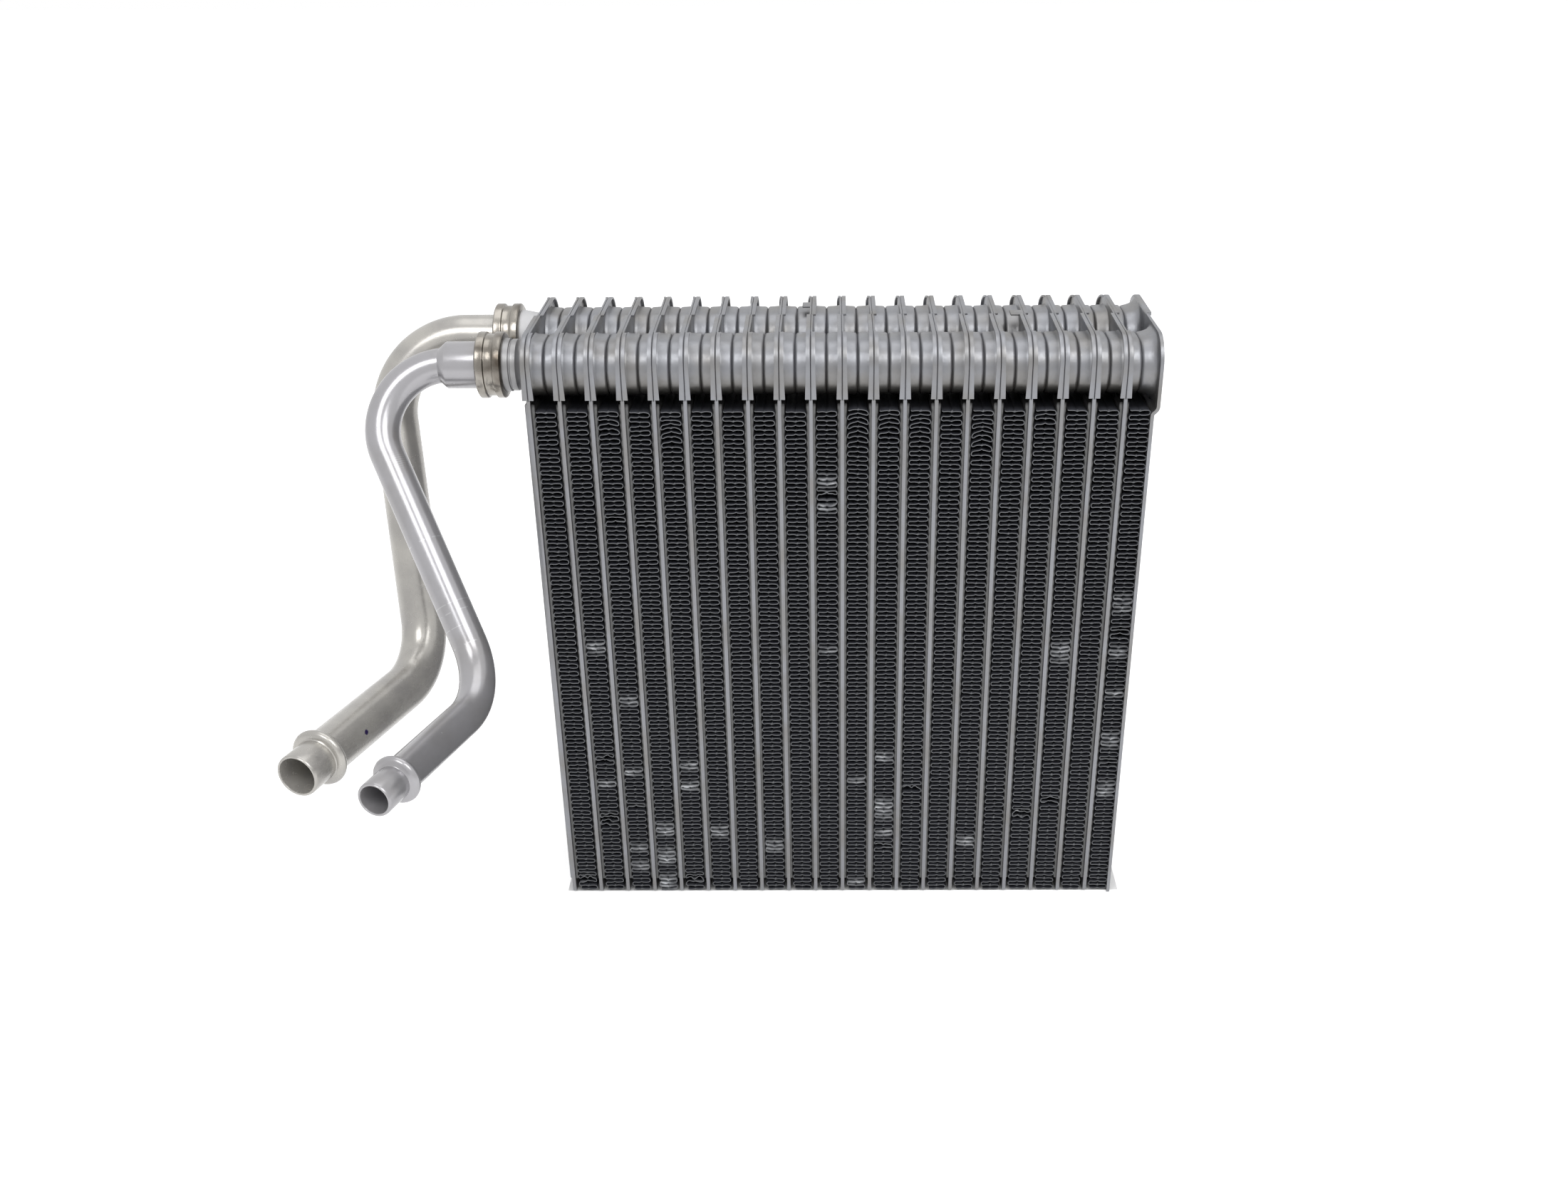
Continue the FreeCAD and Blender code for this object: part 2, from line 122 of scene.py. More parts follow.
class PipeSizes(PropertyGroup):
    """Sizes of the two pipes and their joints."""
    wall: length("Wall", 0.0011, "Wall of both pipes")
    liquid_radius: length("Liquid pipe", 0.0060, "Outer radius of the liquid pipe")
    liquid_flare: length("Liquid flare", 0.00815, "Outer radius of its flared end")
    liquid_stub: length("Liquid stub", 0.0057, "Outer radius of its open end")
    liquid_bead: length("Liquid bead", 0.0080, "Outer radius of its bead")
    liquid_collar: length("Liquid collar", 0.01145, "Outer radius of its collar")
    suction_radius: length("Suction pipe", 0.0080, "Outer radius of the suction pipe")
    suction_stub: length("Suction stub", 0.0075, "Outer radius of its open end")
    suction_bead: length("Suction bead", 0.0101, "Outer radius of its bead")
    suction_collar: length("Suction collar", 0.0120, "Outer radius of its collar")
    collar_length: length("Collar length", 0.0092, "Length of the grooved collars")
    neck_length: length("Neck length", 0.0087, "Length of the necks on the first pair")


class Finishes(PropertyGroup):
    """Colours of the metal."""
    plate: colour("Plates", (0.265, 0.270, 0.288), "Satin aluminium of the stampings")
    # The plate stain colour is also painted shade on the lower half of the cups; recess and shade are painted
    # shade too
    plate_stain_and_shade: colour("Plate stain", (0.215, 0.206, 0.193), "Warm flux stain on the stampings")
    recess: colour("Recess", (0.13, 0.13, 0.13), "Stampings in the shade beside their rims")
    shade: colour("Shade", (0.035, 0.035, 0.035), "Underside of the cups")
    fin: colour("Fins", (0.165, 0.170, 0.180), "Cut edges of the fins")
    # The colours behind the cut edges are painted shade, and the knock colour is a painted highlight
    fin_sheet: colour("Fin sheet", (0.070, 0.073, 0.088), "Fin sheet just behind its cut edge")
    fin_highlight: colour("Bare fin", (0.88, 0.90, 0.93), "Fin sheet where a knock turned it to the light")
    fin_deep_shade: colour("Between fins", (0.014, 0.0145, 0.018), "Fin sheet away from its cut edges")
    liquid: colour("Liquid pipe", (0.39, 0.385, 0.40), "Drawn tube, a little cool")
    suction: colour("Suction pipe", (0.47, 0.455, 0.425), "Drawn tube, a little warm")
    tube_stain: colour("Tube stain", (0.31, 0.30, 0.295), "Duller patches of the tubes")
    collar: colour("Collars", (0.33, 0.31, 0.28), "Bright turned rings")
    collar_stain: colour("Collar stain", (0.07, 0.055, 0.042), "Brown heat stain of the rings")
    neck: colour("Necks", (0.34, 0.34, 0.35), "Brazed necks")
    pale_neck: colour("Pale neck", (0.62, 0.62, 0.63), "Flux-whitened neck of the suction pipe")
    # Painted shade inside the open ends of the pipes
    bore: colour("Bores", (0.07, 0.067, 0.065), "Dull wall inside the open ends")
    ink: colour("Ink", (0.035, 0.02, 0.11), "Small inspection dot on the suction pipe")
    floor: colour("Floor", (0.90, 0.90, 0.90), "Plain studio floor")


class CoreSettings(PropertyGroup):
    """All that a user can set."""
    plates: PointerProperty(type=PlateSizes)
    fins: PointerProperty(type=FinSizes)
    pipes: PointerProperty(type=PipeSizes)
    finishes: PointerProperty(type=Finishes)


# Modelling helpers

def chosen(context):
    """The sizes of the plates, the fins and the pipes, and the finishes."""
    settings = context.scene.evaporator
    return settings.plates, settings.fins, settings.pipes, settings.finishes


def clear_selection():
    if bpy.context.object and bpy.context.object.mode != "OBJECT":
        bpy.ops.object.mode_set(mode="OBJECT")
    bpy.ops.object.select_all(action="DESELECT")


def select_only(*pieces):
    clear_selection()
    for piece in pieces:
        piece.select_set(True)
    bpy.context.view_layer.objects.active = pieces[0]


def edit(piece):
    select_only(piece)
    bpy.ops.object.mode_set(mode="EDIT")


def select_whole():
    bpy.ops.mesh.select_all(action="SELECT")


def choose(piece, kind, test):
    """Select the verts, edges or faces of a piece in edit mode that pass a test."""
    bpy.ops.mesh.select_mode(type={"verts": "VERT", "edges": "EDGE", "faces": "FACE"}[kind])
    bpy.ops.mesh.select_all(action="DESELECT")
    mesh = bmesh.from_edit_mesh(piece.data)
    for item in getattr(mesh, kind):
        if test(item):
            item.select_set(True)
    bmesh.update_edit_mesh(piece.data)


def middle(item):
    return sum((vertex.co for vertex in item.verts), Vector()) / len(item.verts)


def folded(edge, angle):
    return len(edge.link_faces) == 2 and edge.calc_face_angle(0) > angle


def grow(move):
    bpy.ops.mesh.extrude_region_move(TRANSFORM_OT_translate={"value": move})


def resize(factors, centre):
    bpy.ops.transform.resize(value=factors, center_override=centre)


def cut(axis, place):
    """Cut the whole piece in edit mode across an axis, and keep both sides."""
    normal = Vector((axis == "x", axis == "y", axis == "z"))
    select_whole()
    bpy.ops.mesh.bisect(plane_co=normal * place, plane_no=normal)


def settle(piece, name, smooth=math.radians(40)):
    """Finish a piece: its place goes into its mesh, and its shading follows its edges."""
    select_only(piece)
    bpy.ops.object.transform_apply()
    bpy.ops.object.shade_smooth_by_angle(angle=smooth)
    piece.name = name
    piece.data.name = name
    return piece


def apply_modifier(piece, kind, **values):
    select_only(piece)
    modifier = piece.modifiers.new(kind.title(), kind)
    for key, value in values.items():
        setattr(modifier, key, value)
    bpy.ops.object.modifier_apply(modifier=modifier.name)


def outward(piece):
    edit(piece)
    select_whole()
    bpy.ops.mesh.remove_doubles(threshold=0.000001)
    bpy.ops.mesh.normals_make_consistent(inside=False)
    clear_selection()


def join(pieces):
    select_only(*pieces)
    bpy.ops.object.join()
    return pieces[0]


def repeat(source, move=Vector(), half_turn=False):
    """A copy with its own mesh, moved, and turned half round the upright axis where asked."""
    select_only(source)
    bpy.ops.object.duplicate(linked=False)
    piece = bpy.context.object
    if half_turn:
        piece.data.transform(Matrix.Rotation(math.pi, 4, "Z"))
    piece.data.transform(Matrix.Translation(move))
    return piece


def block(low, high):
    """A plain block between two corners."""
    clear_selection()
    bpy.ops.mesh.primitive_cube_add(size=1)
    piece = bpy.context.object
    piece.scale = Vector(high) - Vector(low)
    piece.location = (Vector(high) + Vector(low)) / 2
    bpy.ops.object.transform_apply()
    return piece


def tank_axis(sizes, tank, x):
    """A point at x on the axis of the front tank, -1, or the rear tank, 1."""
    return Vector((x, tank * sizes.tank_spacing / 2, sizes.tank_level))


def upright_sheet(sizes, x):
    """A flat sheet across the stack at x, in edit mode, with its corners at the tank end rounded."""
    centre = (x, 0, sizes.height / 2)
    clear_selection()
    bpy.ops.mesh.primitive_plane_add(size=1, rotation=(0, math.pi / 2, 0), location=centre)
    sheet = bpy.context.object
    bpy.ops.object.transform_apply()
    edit(sheet)
    select_whole()
    resize((1, sizes.depth, sizes.height), centre)
    choose(sheet, "verts", lambda vertex: vertex.co.z > sizes.height / 2)
    bpy.ops.mesh.bevel(offset=sizes.corner, segments=9, affect="VERTICES")
    return sheet


def open_ring(place, along, radius, sides):
    """A circle across an axis, in edit mode."""
    clear_selection()
    turn = along.to_track_quat("Z", "Y").to_euler()
    bpy.ops.mesh.primitive_circle_add(vertices=sides, radius=radius, location=place, rotation=turn,
                                      enter_editmode=True)
    return bpy.context.object


def follow(place, along, profile):
    """Extrude the open ring in edit mode along a profile: distances from a place, and radii."""
    for (before, old), (after, new) in zip(profile, profile[1:]):
        grow(along * (after - before))
        if new != old:
            factor = new / old
            resize((factor, factor, factor), place + along * after)


def rings(place, along, profile, sides, straight=0.0):
    """Rings extruded one after another along an axis, each resized to the next radius of the profile.

    straight pulls the two halves of every ring apart along Y, which makes a racetrack.
    """
    start, radius = profile[0]
    piece = open_ring(place + along * start, along, radius, sides)
    follow(place, along, profile)
    select_only(piece)
    bpy.ops.object.transform_apply()
    if straight:
        for vertex in piece.data.vertices:
            side = vertex.co.y - place.y
            vertex.co.y += math.copysign(straight / 2, side) if abs(side) > ON_PLANE else 0.0
    return piece


def cap(piece, test):
    """Close an open ring, chosen by the place of its edges."""
    edit(piece)
    choose(piece, "edges", lambda edge: edge.is_boundary and test(middle(edge)))
    bpy.ops.mesh.edge_face_add()


def close_ends(piece):
    """Close every open ring of a piece with a face of its own."""
    edit(piece)
    select_whole()
    bpy.ops.mesh.fill_holes(sides=0)


def closed(piece):
    close_ends(piece)
    outward(piece)
    return piece


def close_bore(piece):
    """Join the two open rings of a turned ring by its bore."""
    edit(piece)
    choose(piece, "edges", lambda edge: edge.is_boundary)
    bpy.ops.mesh.bridge_edge_loops()


# Finishes

def add(tree, kind, inputs=None, **settings):
    """A shader node with its settings, each of its inputs given as a value or as the socket that feeds it."""
    node = tree.nodes.new("ShaderNode" + kind)
    for name, value in settings.items():
        setattr(node, name, value)
    for entry, value in (inputs or {}).items():
        if isinstance(value, bpy.types.NodeSocket):
            tree.links.new(value, node.inputs[entry])
        else:
            node.inputs[entry].default_value = value
    return node


def calculate(tree, operation, *terms):
    return add(tree, "Math", dict(enumerate(terms)), operation=operation).outputs["Value"]


def object_place(tree):
    return add(tree, "TexCoord").outputs["Object"]


def along_axis(tree, axis):
    return add(tree, "SeparateXYZ", {"Vector": object_place(tree)}).outputs[axis]


def aside(tree, value, centre=0.0):
    """Distance of a value from a centre, on either side."""
    return calculate(tree, "ABSOLUTE", calculate(tree, "SUBTRACT", value, centre))


def ramp(tree, value, low, high):
    """0 at low and 1 at high, with an even slope between."""
    return add(tree, "MapRange", {"Value": value, "From Min": low, "From Max": high}).outputs["Result"]


def mottle(tree, scale, detail):
    inputs = {"Vector": object_place(tree), "Scale": scale, "Detail": detail}
    return add(tree, "TexNoise", inputs).outputs["Fac"]


def marked(tree, name):
    """The value of a piece's own attribute."""
    return add(tree, "Attribute", attribute_name=name).outputs["Fac"]


def blend(tree, mask, below, above):
    """A colour mix led by a mask: each side is a colour or a node's colour socket."""
    inputs = {"Factor": mask, 6: below, 7: above}
    for index in (6, 7):
        if not isinstance(inputs[index], bpy.types.NodeSocket):
            inputs[index] = (*inputs[index], 1)
    return add(tree, "Mix", inputs, data_type="RGBA").outputs[2]


def satin_group():
    """Fine mottle of rolled and furnace-brazed aluminium: a colour, a roughness and a height."""
    if "Satin metal" in bpy.data.node_groups:
        return bpy.data.node_groups["Satin metal"]
    tree = bpy.data.node_groups.new("Satin metal", "ShaderNodeTree")
    for side, kind, names in (
        ("INPUT", "Color", ("Metal", "Stain")),
        ("INPUT", "Float", ("Stain amount", "Grain size", "Roughness")),
        ("OUTPUT", "Color", ("Colour",)),
        ("OUTPUT", "Float", ("Roughness", "Height")),
    ):
        for name in names:
            tree.interface.new_socket(name=name, in_out=side, socket_type="NodeSocket" + kind)
    entry = tree.nodes.new("NodeGroupInput").outputs
    leave = tree.nodes.new("NodeGroupOutput").inputs
    patches = ramp(tree, mottle(tree, scale=70.0, detail=4.0), 0.42, 0.68)
    stained = calculate(tree, "MULTIPLY", patches, entry["Stain amount"])
    grain = mottle(tree, scale=entry["Grain size"], detail=3.0)
    tree.links.new(blend(tree, stained, entry["Metal"], entry["Stain"]), leave["Colour"])
    tree.links.new(calculate(tree, "MULTIPLY_ADD", grain, 0.18, entry["Roughness"]), leave["Roughness"])
    tree.links.new(grain, leave["Height"])
    return tree


def metal(name, base, stain, stain_amount, roughness, grain=900.0, bump=0.08, metallic=0.85):
    """Satin metal: the shared mottle on a Principled shader."""
    material = bpy.data.materials.new(name)
    material.use_nodes = True
    tree = material.node_tree
    inputs = {"Metal": (*base, 1), "Stain": (*stain, 1), "Stain amount": stain_amount}
    inputs.update({"Grain size": grain, "Roughness": roughness})
    satin = add(tree, "Group", inputs, node_tree=satin_group()).outputs
    relief = add(tree, "Bump", {"Strength": bump, "Distance": 0.0002, "Height": satin["Height"]})
    shader = tree.nodes["Principled BSDF"].inputs
    shader["Metallic"].default_value = metallic
    tree.links.new(satin["Colour"], shader["Base Color"])
    tree.links.new(satin["Roughness"], shader["Roughness"])
    tree.links.new(relief.outputs["Normal"], shader["Normal"])
    return material


def base_colour(material):
    """A material's tree, its shader's colour input and the socket that feeds it so far."""
    tree = material.node_tree
    entry = tree.nodes["Principled BSDF"].inputs["Base Color"]
    return tree, entry, entry.links[0].from_socket


def paint(material, mask, finish):
    """Lay a colour over what a material has so far, as far as a mask goes."""
    tree, entry, so_far = base_colour(material)
    tree.links.new(blend(tree, mask, so_far, finish), entry)


def fin_metal(finishes, half_depth):
    """Fin sheet: pale at the cut edges, with painted shade further in and painted highlight where knocks bend
    it and on some leg creases.
    """
    material = metal("Fin sheet", finishes.fin, finishes.fin, 0.0, 0.40, metallic=0.3)
    tree, entry, _ = base_colour(material)
    outwards = aside(tree, along_axis(tree, "Y"))
    inside = ramp(tree, outwards, half_depth - 0.0050, half_depth - 0.0003)
    # Painted shade deepening inwards from the cut edges, and painted highlight where the strip is marked for
    # it
    shaded_in = blend(tree, inside, finishes.fin_deep_shade, finishes.fin_sheet)
    highlighted = blend(tree, marked(tree, "bare"), shaded_in, finishes.fin_highlight)
    edge = ramp(tree, outwards, half_depth - 0.00025, half_depth - 0.00010)
    tree.links.new(blend(tree, edge, highlighted, finishes.fin), entry)
    return material


def stamping_metal(name, finishes, sizes):
    """Satin aluminium with painted shade: warmer and darker under the cups, near black below them, and dark
    in the recess beside the rims.
    """
    material = metal(name, finishes.plate, finishes.plate_stain_and_shade, 0.7, 0.32, bump=0.18)
    tree, entry, satin = base_colour(material)
    above_axis = calculate(tree, "SUBTRACT", along_axis(tree, "Z"), sizes.tank_level)
    inner = satin
    # Painted shade, darker downwards: the stain colour on the cups' lower half, near black under the cups,
    # the recess colour below
    for low, high, finish in (
        (-0.0055, 0.0015, finishes.plate_stain_and_shade),
        (-0.0095, -0.0060, finishes.shade),
        (-0.0112, -0.0100, finishes.recess),
    ):
        inner = blend(tree, ramp(tree, above_axis, low, high), finish, inner)
    half = sizes.depth / 2
    rim = ramp(tree, aside(tree, along_axis(tree, "Y")), half - 0.0016, half - 0.0009)
    stacked = ramp(tree, along_axis(tree, "X"), -0.0005, -0.0003)
    tree.links.new(blend(tree, stacked, satin, blend(tree, rim, inner, satin)), entry)
    return material


def near_mask(tree, place, reach, soft):
    """1 within reach of a place on a piece and 0 further off."""
    distance = add(tree, "VectorMath", {0: object_place(tree), 1: place}, operation="DISTANCE")
    return ramp(tree, distance.outputs["Value"], reach + soft, reach)


def along_run(tree, start, direction):
    """Distance of a point of a piece along a straight run."""
    offset = add(tree, "VectorMath", {0: object_place(tree), 1: start}, operation="SUBTRACT")
    run = add(tree, "VectorMath", {0: offset.outputs["Vector"], 1: direction}, operation="DOT_PRODUCT")
    return run.outputs["Value"]


def tool_marks(tree, start, direction):
    """A mask of bending-tool marks: faint rings across a run, and a patch of fine chatter."""
    run = along_run(tree, start, direction)
    rubbed = 0.0
    for place, width in TOOL_RINGS:
        ring = calculate(tree, "LESS_THAN", aside(tree, run, place), width)
        rubbed = calculate(tree, "MAXIMUM", rubbed, ring)
    broken = calculate(tree, "GREATER_THAN", mottle(tree, scale=260.0, detail=2.0), 0.5)
    rubbed = calculate(tree, "MULTIPLY", rubbed, broken)
    waves = calculate(tree, "SINE", calculate(tree, "MULTIPLY", run, math.tau / CHATTER_PITCH))
    patch = near_mask(tree, CHATTER_PLACE, reach=0.0010, soft=0.0030)
    chatter = calculate(tree, "MULTIPLY", calculate(tree, "MAXIMUM", waves, 0.0), patch)
    return calculate(tree, "MULTIPLY", calculate(tree, "MAXIMUM", rubbed, chatter), 0.4)


def mark_bore(pipe, rim, direction, radius):
    """Mark the wall of the open bore, where the finish paints shade."""
    marks = pipe.data.attributes.new("bore", "FLOAT", "POINT")
    for index, vertex in enumerate(pipe.data.vertices):
        offset = vertex.co - rim
        off_axis = offset - direction * offset.dot(direction)
        marks.data[index].value = float(off_axis.length < radius and offset.length < BORE_DEPTH + 0.003)


def dress(piece, material, slot, *nodes):
    piece.data.materials.clear()
    piece.data.materials.append(material)
    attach(piece, "root")
    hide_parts(*nodes)


# Stamped plates

# Marker tabs, by the number of the pair: their place along Y and their reach towards the pipe side
TABS = {10: (0.0130, 0.0033), 17: (0.0018, 0.0047)}
TAB_WIDTH = 0.0052

# A cup from the web to its seam with the next: distance from the middle plane, and what to add to its radius
CUP_PROFILE = (
    (0.0006, 0.0005), (0.0011, 0.0002), (0.0018, 0.0001), (0.0030, 0.0), (0.0043, -0.00005),
    (0.0047, -0.00012), (0.0050, -0.00030), (0.0052, -0.00055), (0.0053, -0.00085),
)
SEAM_DRAW = -0.00095


def stamped_sheet(sizes, short_end, tapered):
    """The web of a left half with its two lips, one sheet folded at the edges.

    The short lip runs up the rear edge to short_end on the top edge, narrowing round the corner if tapered.
    """
    long_end = -0.0002
    sheet = upright_sheet(sizes, 0)
    choose(sheet, "verts", lambda vertex: vertex.co.z < sizes.foot_corner / 2)
    bpy.ops.mesh.bevel(offset=sizes.foot_corner, segments=3, affect="VERTICES")
    cut("z", sizes.lip_foot)
    cut("y", long_end)
    cut("y", short_end)

    def in_web(edge):
        return all(abs(vertex.co.x) < ON_PLANE for vertex in edge.verts)

    def at_rim(edge):
        return edge.is_boundary and in_web(edge) and middle(edge).z > sizes.lip_foot

    choose(sheet, "edges", lambda edge: at_rim(edge) and middle(edge).y < long_end)
    grow((-sizes.lip_width, 0, 0))
    choose(sheet, "edges", lambda edge: at_rim(edge) and middle(edge).y > short_end)
    grow((-sizes.lip_width, 0, 0))
    clear_selection()
    shape_lips(sheet, sizes, tapered)
    outward(sheet)
    edit(sheet)
    choose(sheet, "edges", lambda edge: in_web(edge) and folded(edge, 1))
    bpy.ops.mesh.bevel(offset=sizes.fold, segments=3, affect="EDGES")
    clear_selection()
    return sheet


def shape_lips(sheet, sizes, tapered):
    """Spread the lips at their feet, and narrow the short one towards its end on the rear corner."""
    corner = Vector((0, sizes.depth / 2 - sizes.corner, sizes.height - sizes.corner))
    narrow = sizes.sheet * 1.1
    for vertex in sheet.data.vertices:
        if vertex.co.x > -0.0001:
            continue
        low = min(1.0, max(0.0, (corner.z - vertex.co.z) / (corner.z - sizes.lip_foot)))
        vertex.co.x -= sizes.lip_spread * low
        if tapered and vertex.co.y > 0 and vertex.co.z > corner.z:
            turn = math.atan2(vertex.co.y - corner.y, vertex.co.z - corner.z)
            share = min(1.0, max(0.0, turn / math.radians(50)))
            vertex.co.x = -narrow + (vertex.co.x + narrow) * share


def channel_shell(sizes, side):
    """The raised channel of one of the two passes, which a groove parts."""
    outer = sizes.depth / 2 - sizes.channel_setback
    low_y, high_y = sorted((side * sizes.divider / 2, side * outer))
    top = sizes.tank_level - sizes.cup_radius
    shell = block((-sizes.channel_rise, low_y, sizes.channel_foot), (-sizes.sheet / 2, high_y, top))
    edit(shell)
    choose(shell, "edges", lambda edge: all(vertex.co.x < -sizes.channel_rise * 0.9 for vertex in edge.verts))
    bpy.ops.mesh.bevel(offset=0.0006, segments=3, affect="EDGES")
    clear_selection()
    return shell


def cup_shell(sizes, tank):
    """One tank cup from the web to its brazed seam with the next."""
    profile = [(distance, sizes.cup_radius + draw) for distance, draw in CUP_PROFILE]
    profile.append((sizes.pitch / 2, sizes.cup_radius + SEAM_DRAW))
    cup = rings(tank_axis(sizes, tank, 0), PORT_SIDE, profile, CUP_SIDES, sizes.cup_straight)
    close_ends(cup)
    return cup


def plate_half(sizes, with_cups, short_end, tapered):
    sheet = stamped_sheet(sizes, short_end, tapered)
    apply_modifier(sheet, "SOLIDIFY", thickness=sizes.sheet, offset=-1.0)
    apply_modifier(sheet, "BEVEL", width=sizes.sheet * 0.22, segments=2, limit_method="ANGLE",
                   angle_limit=math.radians(60))
    pieces = [sheet, channel_shell(sizes, -1), channel_shell(sizes, 1)]
    if with_cups:
        pieces += [cup_shell(sizes, -1), cup_shell(sizes, 1)]
    for piece in pieces:
        outward(piece)
    return join(pieces)


def tab(x, y, reach, sizes):
    low = (x - reach, y - TAB_WIDTH / 2, sizes.height - 0.00075)
    piece = block(low, (x, y + TAB_WIDTH / 2, sizes.height - 0.00005))
    apply_modifier(piece, "BEVEL", width=0.00025, segments=2)
    return piece


class EVAP_OT_plates(Operator):
    """Build the stamped plate pairs with their cups and lips"""
    bl_idname = "evaporator.plates"
    bl_label = "Plate pairs"

    def execute(self, context):
        sizes, _, _, finishes = chosen(context)
        material = stamping_metal("Stamped aluminium", finishes, sizes)
        corner = sizes.depth / 2 - sizes.corner
        plain = plate_half(sizes, True, corner + 0.0001, True)
        port = plate_half(sizes, False, corner + 0.0001, True)
        turned = plate_half(sizes, True, corner - 0.001, False)
        for number in range(1, PAIR_COUNT + 1):
            place = ALONG_STACK * (number - 1) * sizes.pitch
            pieces = [repeat(port if number == 1 else plain, place), repeat(turned, place, half_turn=True)]
            if number in TABS:
                pieces.append(tab(place.x, *TABS[number], sizes))
            pair = settle(join(pieces), f"stamped_pair_{number:02d}")
            dress(pair, material, "stamping", f"plate_pair_{number:02d}")
        for master in (plain, port, turned):
            bpy.data.objects.remove(master)
        return {"FINISHED"}


# Corrugated fins

# Places across a leg, and the outward and upward shares of the points of a bend
LEG_SHARES = (0.0, 0.14, 0.27, 0.40, 0.50, 0.60, 0.73, 0.86, 1.0)
BEND_SHARES = ((0.62, 0.12), (0.96, 0.35), (0.96, 0.65), (0.62, 0.88))

# How far a strip strays from even waves: along its height, across a leg, and at its front edge
SWAY = 0.00030
TILT = 0.00026
FLUTTER = 0.00013
DEEP_KNOCK = 0.001

# Knocks on the front of the fins: column, height, reach and bend, all but the column in millimetres
KNOCKS = (
    (10, 176.3, 3.5, -0.96), (10, 171.2, 1.6, 1.2), (10, 166.6, 3.2, -0.96), (3, 161.8, 2.0, 0.7),
    (4, 160.1, 1.5, 0.7), (2, 110.4, 4.3, -0.72), (3, 87.9, 3.5, -0.72), (10, 109.2, 2.2, -0.56),
    (10, 95.0, 1.4, 0.6), (20, 128.0, 5.8, -0.48), (20, 116.0, 3.5, 0.8), (20, 108.0, 3.6, -0.72),
    (20, 90.6, 2.3, -0.56), (20, 70.0, 5.1, -0.64), (20, 60.0, 3.0, 0.7), (20, 48.0, 5.1, -0.64),
    (18, 108.0, 6.6, -0.85), (2, 62.1, 3.0, 1.2), (2, 50.7, 2.2, -0.56), (3, 55.9, 2.6, -0.64),
    (5, 58.8, 3.2, -0.72), (5, 49.7, 3.5, -0.72), (2, 34.5, 4.5, 1.1), (3, 40.5, 1.6, 0.7),
    (3, 20.6, 2.9, -0.64), (3, 12.0, 3.5, -0.72), (4, 29.4, 4.3, -0.88), (4, 17.0, 5.8, -0.96),
    (4, 4.0, 5.8, -0.96), (6, 28.4, 3.8, -0.72), (8, 21.5, 4.1, -0.8), (1, 5.8, 4.0, 1.1),
    (5, 5.7, 3.5, 1.1), (12, 62.7, 3.2, -0.64), (11, 52.7, 2.3, -0.72), (13, 48.4, 1.8, 1.2),
    (12, 39.2, 7.5, -0.8), (12, 27.8, 2.6, -0.64), (12, 21.0, 2.6, 1.1), (15, 24.0, 3.8, -0.64),
    (17, 36.7, 2.6, 1.2), (18, 42.7, 2.6, 1.1), (11, 4.2, 2.9, -0.72),
)

# Legs that arch upwards near the top: column, height of the strongest arch, reach and rise in millimetres
ARCHES = (
    (3, 197.0, 7.0, 0.7), (5, 194.0, 8.0, 1.0), (11, 196.0, 11.0, 1.3), (12, 197.0, 7.0, 0.9),
    (13, 195.0, 9.0, 0.8), (15, 192.0, 10.0, 1.2), (17, 199.0, 4.0, 0.6),
)


def wave_points(sizes, width):
    """One wave of the strip across the gap and back: two rippled legs that mirror each other."""
    leg = (sizes.head - sizes.foot) / sizes.waves / 2
    span = width - 2 * sizes.bend
    points = []
    for level, side in ((0, 1), (1, -1)):
        for share in LEG_SHARES:
            ripple = -sizes.ripple * math.sin(math.pi * share) * abs(math.cos(math.pi * share)) * 1.6
            crease = sizes.crest * max(0.0, 1 - abs(share - 0.5) / 0.13)
            across = share if side > 0 else 1 - share
            points.append((sizes.bend + across * span, level * leg + side * (ripple + crease)))
        for reach, rise in BEND_SHARES:
            outer = reach * sizes.bend
            x = width - sizes.bend + outer if side > 0 else sizes.bend - outer
            points.append((x, (level + rise) * leg))
    return points, leg * 2


def fin_strip(sizes, width):
    """A whole strip: one wave, extruded point by point from an edge through the depth, and arrayed."""
    points, wave = wave_points(sizes, width)
    first_x, first_z = points[0]
    clear_selection()
    bpy.ops.mesh.primitive_plane_add(size=1, location=(0, 0, 0), enter_editmode=True)
    strip = bpy.context.object
    select_whole()
    resize((0.0, sizes.depth, 1), (0, 0, 0))
    bpy.ops.transform.translate(value=(first_x, 0, sizes.foot + first_z))
    bpy.ops.mesh.remove_doubles(threshold=MERGE)
    bpy.ops.mesh.select_mode(type="EDGE")
    select_whole()
    for (x0, z0), (x1, z1) in zip(points, points[1:] + [(first_x, first_z + wave)]):
        grow((x1 - x0, 0, z1 - z0))
    cut("y", sizes.soft_depth - sizes.depth / 2)
    clear_selection()
    apply_modifier(strip, "ARRAY", count=sizes.waves, use_relative_offset=False, use_constant_offset=True,
                   constant_offset_displace=(0, 0, wave), use_merge_vertices=True, merge_threshold=MERGE)
    edit(strip)
    last_leg = sizes.head - wave / 2 + sizes.crest
    choose(strip, "faces", lambda face: middle(face).z > last_leg and middle(face).x < sizes.bend * 1.2)
    bpy.ops.mesh.delete(type="FACE")
    clear_selection()
    return strip


def bump(distance, reach):
    """1 at the centre of a knock, 0 beyond its reach, and smooth between."""
    share = min(1.0, abs(distance) / reach)
    return (1 - share * share) ** 2


def on_strip(table, number):
    """The rows of a table that lie on one strip: height, reach and amount in metres."""
    return [[value * 0.001 for value in row] for column, *row in table if column == number]


